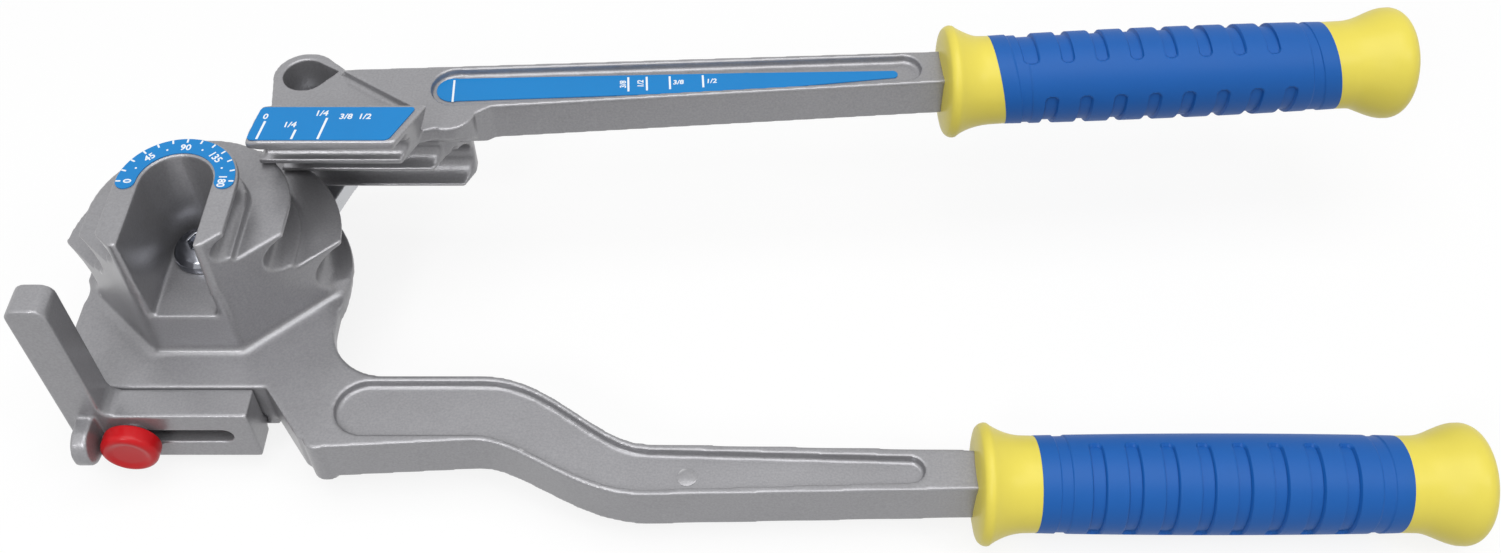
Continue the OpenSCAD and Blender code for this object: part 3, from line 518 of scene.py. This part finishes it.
class BENDER_OT_castings(bpy.types.Operator):
    """Build the die with the lower arm, the shoe with the upper arm, and the hook"""

    bl_idname = "bender.castings"
    bl_label = "Castings"

    def die_foot(self):
        """Lines along the foot of the die's front and of its two slanted corners, and up these corners."""
        half_width, front, level = 10.5 * MM, -20.2 * MM, 22.85 * MM
        side, side_y, corner_height = 33.3 * MM, 1 * MM, 18 * MM
        lines = [((-half_width, front, level), (half_width, front, level))]
        for x_sign in (-1, 1):
            corner = (x_sign * half_width, front, level)
            lines.append((corner, (x_sign * side, side_y, level)))
            lines.append((corner, (x_sign * half_width, front, level + corner_height)))
        return lines

    def pad_corners(self):
        """Upright lines at the two left corners of the shoe's pad, which are those of its label."""
        deep, near = 5 * MM, 0.1 * MM
        low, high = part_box("shoe_label")
        verts = [v.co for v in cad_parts["shoe_label"].data.vertices]
        lines = []
        for y in (low.y, high.y):
            x = min(v.x for v in verts if abs(v.y - y) < near)
            lines.append(((x, y, high.z - deep), (x, y, high.z)))
        return lines

    def ejector_mark(self, sizes):
        """A flat round mark on the floor of the lower arm's recess."""
        x, y = sizes.mark_place
        arm = merged_copy("form_handle")
        point = BVHTree.FromBMesh(arm).ray_cast(Vector((x, y, cad_high.z)), Vector((0, 0, -1)))[0]
        arm.free()
        if point is None:
            raise RuntimeError("no arm under the ejector mark")
        sunk, edge = 0.5 * MM, 0.1 * MM
        shape = bmesh.new()
        bmesh.ops.create_cone(
            shape, cap_ends=True, segments=64, radius1=sizes.mark_radius, radius2=sizes.mark_radius,
            depth=sunk + sizes.mark_height,
            matrix=Matrix.Translation((x, y, point.z + (sizes.mark_height - sunk) / 2)),
        )
        return bevelled_mesh(shape, edge)

    def execute(self, context):
        sizes = context.scene.bender_castings
        metal = cast_finish(context.scene.bender_colours)
        foot = (self.die_foot(), sizes.foot_reach, sizes.foot_rounds)
        pad = (self.pad_corners(), sizes.pad_reach, sizes.pad_rounds)
        for node, name, body, soft in (
            ("form_handle", "die_casting", "lower_handle", foot),
            ("shoe_handle", "shoe_casting", "upper_handle", pad),
            ("hook", "hook_casting", "hook", ()),
        ):
            mesh = rounded_mesh(merged_copy(node), sizes.cell, sizes.rounds, sizes.share, *soft)
            add_piece(name, mesh, metal, body, [node])
        add_piece("ejector_mark", self.ejector_mark(sizes), metal, "lower_handle")
        return {"FINISHED"}


class BENDER_OT_grips(bpy.types.Operator):
    """Build the two moulded grips with their slotted sleeves"""

    bl_idname = "bender.grips"
    bl_label = "Grips"

    def grip_place(self, node, turn, stretch):
        """Length of a grip along its axis, and the matrix that sets it in its place."""
        low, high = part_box(node)
        middle = (low + high) / 2
        axis = Vector((math.cos(turn), math.sin(turn), 0))
        along = [v.co.dot(axis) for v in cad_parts[node].data.vertices]
        origin = middle + axis * (min(along) - middle.dot(axis))
        longer = Matrix.Diagonal((stretch, 1, 1, 1))
        return max(along) - min(along), Matrix.Translation(origin) @ Matrix.Rotation(turn, 4, "Z") @ longer

    def bar_radius(self, node):
        """Radius of a round piece that lies flat, which is half its height."""
        low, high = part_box(node)
        return (high.z - low.z) / 2

    def core_profile(self, sizes, total, flange, sleeve):
        """Outline of the hard core: flared rim, neck, seat of the sleeve, neck and round end knob."""
        start, end, tail = sizes.front, total - sizes.knob, total - 1.8 * MM
        waist, neck = sleeve - sizes.sleeve_wall, sleeve - 0.05 * MM
        rim, end_round = 2 * MM, 4.2 * MM
        front_dome, end_dome = 0.7 * MM, 0.2 * MM
        points = [(-front_dome, 0), (-front_dome, 0.45 * flange), (-0.3 * MM, 0.72 * flange)]
        points += arc_points((rim, flange - rim), rim, 150, 75, 7)
        flare_start, flare_reach, flare_steps = 2.3 * MM, 8.7 * MM, 9
        for i in range(1, flare_steps + 1):
            t = i / flare_steps
            points.append((flare_start + flare_reach * t, sleeve + (flange - sleeve) * (1 - t) ** 2))
        points += [(start, neck), (start, waist), (end, waist), (end, neck)]
        swell_start, swell_reach, swell_steps = end + 4.2 * MM, 10.6 * MM, 10
        for i in range(swell_steps):
            t = i / swell_steps
            points.append((swell_start + swell_reach * t, sleeve + (flange - sleeve) * eased(t)))
        points += arc_points((tail - end_round, flange - end_round), end_round, 84, 6, 9)
        points += [(tail + 0.15 * MM, 0.5 * flange), (tail + end_dome, 0.25 * flange), (tail + end_dome, 0)]
        return points

    def sleeve_profile(self, sizes, total, sleeve):
        """Outline of the plain sleeve, with many rings to carve."""
        start, end = sizes.front, total - sizes.knob
        waist = sleeve - sizes.sleeve_wall
        rings = [(start + (end - start) * i / sizes.rings, sleeve) for i in range(sizes.rings + 1)]
        return [(start, waist), *rings, (end, waist), (start, waist)]

    def lean(self, point, sizes, total, tilt, slant):
        """Moves a point along the axis so that the sleeve's ends stand aslant, and its slots a little."""
        outer_reach, band_reach, inner_reach, slot_share = 9 * MM, 4 * MM, 6 * MM, 0.2
        side = point.y * math.cos(tilt) + point.z * math.sin(tilt)
        inside = min(point.x - sizes.front, total - sizes.knob - point.x)
        if inside < 0:
            share = 1 - eased(-inside / outer_reach)
        else:
            share = 1 - (1 - slot_share) * eased((inside - band_reach) / inner_reach)
        point.x += slant * side * share

    def carve(self, point, sizes, total, sleeve, rows, pitch):
        """Swells the sleeve and sinks its slots and end bands into it."""
        edge, bulge_power = 0.25 * MM, 0.8
        start, end = sizes.front, total - sizes.knob
        share = min(1, max(0, (point.x - start) / (end - start)))
        radius = sleeve + sizes.bulge * math.sin(math.pi * share) ** bulge_power
        middle = (start + end) / 2
        angle = math.atan2(point.z, point.y)
        sunk = 0.0
        for row, centre in enumerate(rows):
            across = math.remainder(angle - centre, math.tau)
            along = abs(across) * sleeve - sizes.slot_arc * sleeve / 2 + sizes.slot_corner
            first = middle - sizes.row_shift - row * pitch / 2 - (sizes.slots - 1) / 2 * pitch
            for i in range(sizes.slots):
                aside = abs(point.x - first - i * pitch) - sizes.slot_width / 2 + sizes.slot_corner
                outside = math.hypot(max(0.0, aside), max(0.0, along))
                gap = outside + min(0.0, max(aside, along)) - sizes.slot_corner
                sunk = max(sunk, sizes.slot_depth * eased(0.5 - gap / edge))
        inset = min(point.x - start, end - point.x) - sizes.band_in - sizes.band_width / 2
        sunk = max(sunk, sizes.band_depth * eased(0.5 - (abs(inset) - sizes.band_width / 2) / edge))
        scale = (radius - sunk) / math.hypot(point.y, point.z)
        point.y *= scale
        point.z *= scale

    def execute(self, context):
        sizes = context.scene.bender_grips
        colours = context.scene.bender_colours
        core_steps, skin_depth, smooth_angle = 96, 0.1 * MM, math.radians(50)
        hard = plastic_finish("Yellow moulded plastic", colours.yellow, roughness=0.35, bump=0.05)
        soft = plastic_finish("Blue soft sleeve", colours.blue, roughness=0.5, bump=0.1)
        # Painted shade: the slots' inner edges, found by pointiness, are darkened in the sleeve's colour.
        add_edge_tint(soft, colours.groove, start=0.48, full=0.38)
        for which, body, turn, stretch, tilt, slant, facing, pitch in (
            ("lower", "lower_handle", 0.0, 1.0, sizes.lower_tilt, sizes.lower_slant, sizes.lower_facing,
             sizes.lower_pitch),
            ("upper", "upper_handle", sizes.turn, sizes.stretch, sizes.upper_tilt, sizes.upper_slant,
             sizes.upper_facing, sizes.upper_pitch),
        ):
            core_node, sleeve_node = f"{which}_grip_core", f"{which}_grip_sleeve"
            total, place = self.grip_place(core_node, turn, stretch)
            flange, sleeve = self.bar_radius(core_node), self.bar_radius(sleeve_node)
            core = spun(self.core_profile(sizes, total, flange, sleeve), core_steps)
            skin = spun(self.sleeve_profile(sizes, total, sleeve), sizes.around)
            for vert in skin.verts:
                if math.hypot(vert.co.y, vert.co.z) > sleeve - skin_depth:
                    self.carve(vert.co, sizes, total, sleeve, (facing, facing + math.pi), pitch)
            for name, shape, material, slot, node in (
                (f"{which}_grip", core, hard, "grip_core", core_node),
                (f"{which}_sleeve", skin, soft, "grip_sleeve", sleeve_node),
            ):
                for vert in shape.verts:
                    self.lean(vert.co, sizes, total, tilt, slant)
                shape.transform(place)
                add_piece(name, mesh_of(shape, name, smooth_angle), material, body, [node])
        return {"FINISHED"}


class BENDER_OT_labels(bpy.types.Operator):
    """Print ticks and plain numbers on the three blue labels"""

    bl_idname = "bender.labels"
    bl_label = "Labels"
    number_shear = 0.1

    def tick(self, shape, start, end, width, z, thickness):
        """Adds one straight mark between two points (x, y)."""
        start, end = Vector(start), Vector(end)
        run, middle = end - start, (start + end) / 2
        turn = Matrix.Rotation(math.atan2(run.y, run.x), 4, "Z")
        place = Matrix.Translation((middle.x, middle.y, z)) @ turn
        size = Matrix.Diagonal((run.length, width, thickness, 1))
        bmesh.ops.create_cube(shape, size=1, matrix=place @ size)

    def number(self, shape, words, height, centre, turn, z, thickness, shear=0.0):
        """Adds a plain number, centred on a point (x, y)."""
        digit_share, boldness = 0.7, 0.03
        curve = bpy.data.curves.new("number", "FONT")
        curve.body = words
        curve.size = height / digit_share
        curve.shear = shear
        curve.align_x = "CENTER"
        curve.align_y = "CENTER"
        curve.extrude = thickness / 2
        curve.offset = height * boldness
        curve.resolution_u = 3
        helper = helper_object(curve)
        mesh = settled(helper)
        drop_object(helper)
        mesh.transform(Matrix.Translation((centre[0], centre[1], z)) @ Matrix.Rotation(turn, 4, "Z"))
        shape.from_mesh(mesh)
        bpy.data.meshes.remove(mesh)

    def rounded_label(self, node, radius):
        """A copy of a label's solid with round upright corners."""
        shape = merged_copy(node)
        join_flat(shape)
        upright = [e for e in shape.edges if abs((e.verts[0].co - e.verts[1].co).normalized().z) > 0.99]
        bmesh.ops.bevel(
            shape, geom=upright, offset=radius, segments=6, profile=0.5, affect="EDGES", material=-1
        )
        return mesh_of(shape, node, math.radians(30))

    def degree_marks(self, sizes, z):
        """Ticks along the outer edge of the arc, a number every 45 degrees and dots between them."""
        tick_step, number_step = 15, 45
        low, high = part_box("degree_scale")
        outer = (high.x - low.x) / 2
        edge, middle, dot_radius = outer - 0.1 * MM, outer - 2.9 * MM, 0.26 * MM
        shape = bmesh.new()

        def way(degrees):
            """Direction of a mark; the scale runs clockwise from its left end."""
            angle = math.radians(180 - degrees)
            return Vector((math.cos(angle), math.sin(angle), 0))

        for degrees in range(0, 181, tick_step):
            start, end = way(degrees) * (edge - sizes.tick_length), way(degrees) * edge
            self.tick(shape, start, end, sizes.tick_width, z, sizes.thickness)
        for degrees in range(0, 181, number_step):
            self.number(shape, str(degrees), sizes.degree_height, way(degrees) * middle,
                        math.radians(90 - degrees), z, sizes.thickness)
        for i in range(180 // number_step):
            centre = way((i + 0.5) * number_step) * middle
            bmesh.ops.create_cone(
                shape, cap_ends=True, segments=16, radius1=dot_radius, radius2=dot_radius,
                depth=sizes.thickness, matrix=Matrix.Translation((centre.x, centre.y, z)),
            )
        return shape

    def shoe_marks(self, sizes, z):
        """Three slanting lines that rise from the label's front edge, and their numbers."""
        slope, margin, width = math.tan(math.radians(8)), 0.02, 1.3 * sizes.tick_width
        low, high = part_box("shoe_label")
        deep = high.y - low.y
        verts = [v.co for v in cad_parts["shoe_label"].data.vertices]
        front = [v.x for v in verts if v.y < low.y + 0.1 * MM]
        left, wide = min(front), max(front) - min(front)
        shape = bmesh.new()

        def point(share, rise):
            """A point that leans to the right as it rises from a share of the front edge."""
            return (left + share * wide + slope * rise * deep, low.y + rise * deep)

        for share, rise in ((0.075, 0.56), (0.32, 0.3), (0.505, 0.66)):
            start = (left + share * wide, low.y + margin * deep)
            self.tick(shape, start, point(share, rise), width, z, sizes.thickness)
        for share, rise, words in (
            (0.06, 0.7, "0"), (0.26, 0.45, "1/4"), (0.45, 0.8, "1/4"), (0.7, 0.7, "3/8  1/2"),
        ):
            self.number(shape, words, sizes.shoe_height, point(share, rise), 0.0, z, sizes.thickness,
                        self.number_shear)
        return shape

    def arm_marks(self, sizes, z):
        """A long line at the wide end and ticks along the strip, each across it, with their numbers."""
        tip_reach, width = 2 * MM, 1.2 * sizes.tick_width
        turn = bpy.context.scene.bender_grips.turn
        along = Vector((math.cos(turn), math.sin(turn), 0))
        across = Vector((-along.y, along.x, 0))
        verts = [v.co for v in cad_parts["arm_scale"].data.vertices]
        first, last = min(v.dot(along) for v in verts), max(v.dot(along) for v in verts)
        whole_strip = [v.dot(across) for v in verts]
        tip = [v.dot(across) for v in verts if v.dot(along) > last - tip_reach]
        shape = bmesh.new()

        def point(share, rise):
            """A point at a share of the strip's length and a share of its width there."""
            bottom = min(whole_strip) + (min(tip) - min(whole_strip)) * share
            top = max(whole_strip) + (max(tip) - max(whole_strip)) * share
            return along * (first + share * (last - first)) + across * (bottom + (top - bottom) * rise)

        for share, lower, upper in (
            (0.036, 0.06, 0.94), (0.413, 0.1, 0.9), (0.453, 0.1, 0.9), (0.503, 0.1, 0.9),
            (0.575, 0.1, 0.92),
        ):
            self.tick(shape, point(share, lower), point(share, upper), width, z, sizes.thickness)
        for share, words, quarter in (
            (0.593, "1/2", 0), (0.521, "3/8", 0), (0.402, "3/8", 1), (0.44, "1/2", 1),
        ):
            self.number(shape, words, sizes.arm_height, point(share, 0.5), turn + quarter * math.pi / 2, z,
                        sizes.thickness, self.number_shear)
        return shape

    def execute(self, context):
        sizes = context.scene.bender_labels
        colours = context.scene.bender_colours
        film = plastic_finish("Blue label film", colours.label, roughness=0.34, bump=0.02)
        print_white = plastic_finish("White print", colours.mark, roughness=0.4, bump=0.0)
        for node, body, marks in (
            ("degree_scale", "lower_handle", self.degree_marks),
            ("shoe_label", "upper_handle", self.shoe_marks),
            ("arm_scale", "upper_handle", self.arm_marks),
        ):
            if node == "shoe_label":
                mesh = self.rounded_label(node, sizes.corner)
                add_piece("shoe_label_film", mesh, film, body, [node])
            else:
                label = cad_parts[node]
                label.data.materials.clear()
                label.data.materials.append(film)
            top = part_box(node)[1].z + sizes.thickness / 2
            mesh = mesh_of(marks(sizes, top), "marks", math.radians(30))
            add_piece(f"{node}_marks", mesh, print_white, body)
        return {"FINISHED"}


class BENDER_OT_knob(bpy.types.Operator):
    """Build the red clamp knob with its screw and washer"""

    bl_idname = "bender.knob"
    bl_label = "Clamp knob"

    def knob_profile(self, radius, thick):
        """Outline of the knob: flat back, round back edge, round rim and shallow dish."""
        back, rim, dish = 0.7 * MM, 1.5 * MM, 0.45 * MM
        points = [(0, 0), (0, radius - 0.9 * MM)]
        points += arc_points((back, radius - back), back, 170, 90, 4)
        points += arc_points((thick - rim, radius - rim), rim, 88, 8, 8)
        dish_r, dish_reach, dish_steps = radius - rim + 0.2 * MM, 2 * MM, 6
        for i in range(1, dish_steps + 1):
            t = i / dish_steps
            points.append((thick - dish * eased(t), dish_r - dish_reach * t))
        points.append((thick - dish, 0))
        return points

    def execute(self, context):
        colours = context.scene.bender_colours
        knob_steps, edge = 72, 0.18 * MM
        low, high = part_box("clamp_knob")
        middle = (low + high) / 2
        shape = spun(self.knob_profile((high.x - low.x) / 2, high.y - low.y), knob_steps)
        forwards = Matrix.Rotation(-math.pi / 2, 4, "Z")
        shape.transform(Matrix.Translation((middle.x, high.y, middle.z)) @ forwards)
        red = plastic_finish("Red moulded knob", colours.red, roughness=0.3, bump=0.02)
        mesh = mesh_of(shape, "knob", math.radians(60))
        add_piece("knob", mesh, red, "clamp_knob", ["clamp_knob"])
        steel = steel_finish(colours)
        about = Matrix.Translation(-middle)
        for node, thinner in (("clamp_screw", 0.94), ("clamp_washer", 1.0)):
            part = merged_copy(node)
            bmesh.ops.scale(part, vec=(thinner, 1, thinner), space=about, verts=part.verts)
            add_piece(f"{node}_steel", bevelled_mesh(part, edge), steel, "clamp_knob", [node])
        return {"FINISHED"}


class BENDER_OT_pivots(bpy.types.Operator):
    """Build the link, the pivot bolt with its nut, the handle pin, the washers and the bushes"""

    bl_idname = "bender.pivots"
    bl_label = "Pivots"

    def shorten(self, part, node, play):
        """Takes a little play off both ends of an upright bush."""
        low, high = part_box(node)
        shorter = 1 - 2 * play / (high.z - low.z)
        about = Matrix.Translation(-(low + high) / 2)
        bmesh.ops.scale(part, vec=(1, 1, shorter), space=about, verts=part.verts)

    def execute(self, context):
        colours = context.scene.bender_colours
        rounds, share = 4, 0.35
        edge, bush_play = 0.15 * MM, 0.01 * MM
        steel = steel_finish(colours)
        dark = bolt_finish(colours)
        bronze = bronze_finish(colours)
        nylon = plastic_finish("Natural nylon", colours.nylon, roughness=0.4, bump=0.05)
        for node, body, cell, material in (
            ("pivot_bolt", "lower_handle", 0.22 * MM, dark),
            ("pivot_nut", "lower_handle", 0.22 * MM, steel),
            ("swing_link", "link", 0.36 * MM, steel),
        ):
            mesh = rounded_mesh(merged_copy(node), cell, rounds, share)
            add_piece(f"{node}_steel", mesh, material, body, [node])
        for node, body, material, slot in (
            ("thrust_washer", "lower_handle", steel, "steel"),
            ("lower_washer", "lower_handle", steel, "steel"),
            ("handle_washer", "link", steel, "steel"),
            ("pin_washer", "link", steel, "steel"),
            ("pin_ring", "link", steel, "steel"),
            ("handle_pin", "link", steel, "steel"),
            ("link_bush", "link", bronze, "bush_bronze"),
            ("handle_bush", "upper_handle", bronze, "bush_bronze"),
            ("nut_insert", "lower_handle", nylon, "nylon"),
        ):
            part = merged_copy(node)
            if slot == "bush_bronze":
                self.shorten(part, node, bush_play)
            add_piece(f"{node}_round", bevelled_mesh(part, edge), material, body, [node])
        return {"FINISHED"}


class BENDER_OT_stage(bpy.types.Operator):
    """Set the floor, the light and the camera at the picture's angle"""

    bl_idname = "bender.stage"
    bl_label = "Stage"

    def floor(self, context):
        """A wide pale floor that keeps the tool's shadow."""
        sizes, colours = context.scene.bender_stage, context.scene.bender_colours
        gap, glow = 0.2 * MM, 0.85
        shape = bmesh.new()
        bmesh.ops.create_grid(shape, x_segments=1, y_segments=1, size=sizes.floor_size / 2)
        bmesh.ops.translate(shape, verts=shape.verts, vec=(0, 0, cad_low.z - gap))
        floor = bpy.data.objects.new("floor", mesh_of(shape, "floor"))
        context.scene.collection.objects.link(floor)
        material = bpy.data.materials.new("Pale floor")
        material.use_nodes = True
        tree = material.node_tree
        tree.nodes.clear()
        out = add_node(tree, "ShaderNodeOutputMaterial")
        shown = shown_rays(tree)
        lift = add_node(tree, "ShaderNodeMath", {1: glow}, operation="MULTIPLY")
        white = add_node(tree, "ShaderNodeEmission", {"Color": (1, 1, 1, 1)})
        paint = add_node(
            tree, "ShaderNodeMix", {"A": (*colours.floor, 1), "B": (0.97, 0.97, 0.97, 1)}, data_type="RGBA"
        )
        matt = add_node(tree, "ShaderNodeBsdfDiffuse")
        mix = add_node(tree, "ShaderNodeMixShader")
        link(
            tree,
            (shown, lift.inputs[0]), (lift.outputs[0], mix.inputs["Fac"]),
            (shown, paint.inputs["Factor"]), (paint.outputs["Result"], matt.inputs["Color"]),
            (matt.outputs[0], mix.inputs[1]), (white.outputs[0], mix.inputs[2]),
            (mix.outputs[0], out.inputs["Surface"]),
        )
        floor.data.materials.append(material)

    def world(self, context):
        """Even pale light from all sides, which shows as plain white."""
        world = bpy.data.worlds.new("Studio")
        context.scene.world = world
        world.use_nodes = True
        tree = world.node_tree
        ground = tree.nodes["Background"]
        ground.inputs["Color"].default_value = (1, 1, 1, 1)
        strength = add_node(tree, "ShaderNodeMapRange", {"To Min": 0.35, "To Max": 1.0})
        link(
            tree,
            (shown_rays(tree), strength.inputs["Value"]),
            (strength.outputs["Result"], ground.inputs["Strength"]),
        )

    def lamp(self, context, name, place, target, size, power):
        """A square soft light that looks at a point."""
        data = bpy.data.lights.new(name, "AREA")
        data.size = size
        data.energy = power
        lamp = bpy.data.objects.new(name, data)
        lamp.location = place
        lamp.rotation_euler = (Vector(target) - Vector(place)).to_track_quat("-Z", "Y").to_euler()
        context.scene.collection.objects.link(lamp)

    def camera(self, context):
        """The camera at the picture's place."""
        sizes = context.scene.bender_stage
        data = bpy.data.cameras.new("camera")
        data.sensor_width = 36
        data.lens = sizes.focal_pixels / IMAGE_WIDTH * data.sensor_width
        data.clip_start, data.clip_end = 0.01, 50
        camera = bpy.data.objects.new("camera", data)
        camera.location = sizes.camera_place
        camera.rotation_euler = (sizes.camera_tilt, 0, 0)
        context.scene.collection.objects.link(camera)
        context.scene.camera = camera

    def execute(self, context):
        context.scene.view_settings.view_transform = "Standard"
        self.floor(context)
        self.world(context)
        middle = (cad_low + cad_high) / 2
        for name, offset, size, power in (
            ("top light", (0, -0.15, 1.1), 1.0, 8.5),
            ("front light", (-0.38, -0.74, 0.7), 0.25, 2.2),
            ("right light", (0.65, -0.42, 0.78), 0.2, 1.2),
        ):
            self.lamp(context, name, middle + Vector(offset), middle, size, power)
        self.camera(context)
        return {"FINISHED"}


class BENDER_PT_pieces(bpy.types.Panel):
    """Lists the steps that build the tool"""

    bl_label = "Tube bender"
    bl_idname = "BENDER_PT_pieces"
    bl_space_type = "VIEW_3D"
    bl_region_type = "UI"
    bl_category = "Bender"

    def draw(self, context):
        for step in STEPS:
            self.layout.operator(step.bl_idname)
        for name in GROUPS:
            box = self.layout.box()
            group = getattr(context.scene, name)
            for key in group.__annotations__:
                box.prop(group, key)


GROUPS = {
    "bender_colours": BenderColours,
    "bender_castings": CastingSizes,
    "bender_grips": GripSizes,
    "bender_labels": LabelSizes,
    "bender_stage": StageSizes,
}
STEPS = (
    BENDER_OT_castings,
    BENDER_OT_grips,
    BENDER_OT_labels,
    BENDER_OT_knob,
    BENDER_OT_pivots,
    BENDER_OT_stage,
)


def register():
    for name, group in GROUPS.items():
        bpy.utils.register_class(group)
        setattr(bpy.types.Scene, name, PointerProperty(type=group))
    for kind in (*STEPS, BENDER_PT_pieces):
        bpy.utils.register_class(kind)


def unregister():
    for kind in (BENDER_PT_pieces, *reversed(STEPS)):
        bpy.utils.unregister_class(kind)
    for name, group in GROUPS.items():
        delattr(bpy.types.Scene, name)
        bpy.utils.unregister_class(group)


def main():
    register()
    bpy.ops.bender.castings()
    bpy.ops.bender.grips()
    bpy.ops.bender.labels()
    bpy.ops.bender.knob()
    bpy.ops.bender.pivots()
    bpy.ops.bender.stage()


if __name__ == "__main__":
    main()
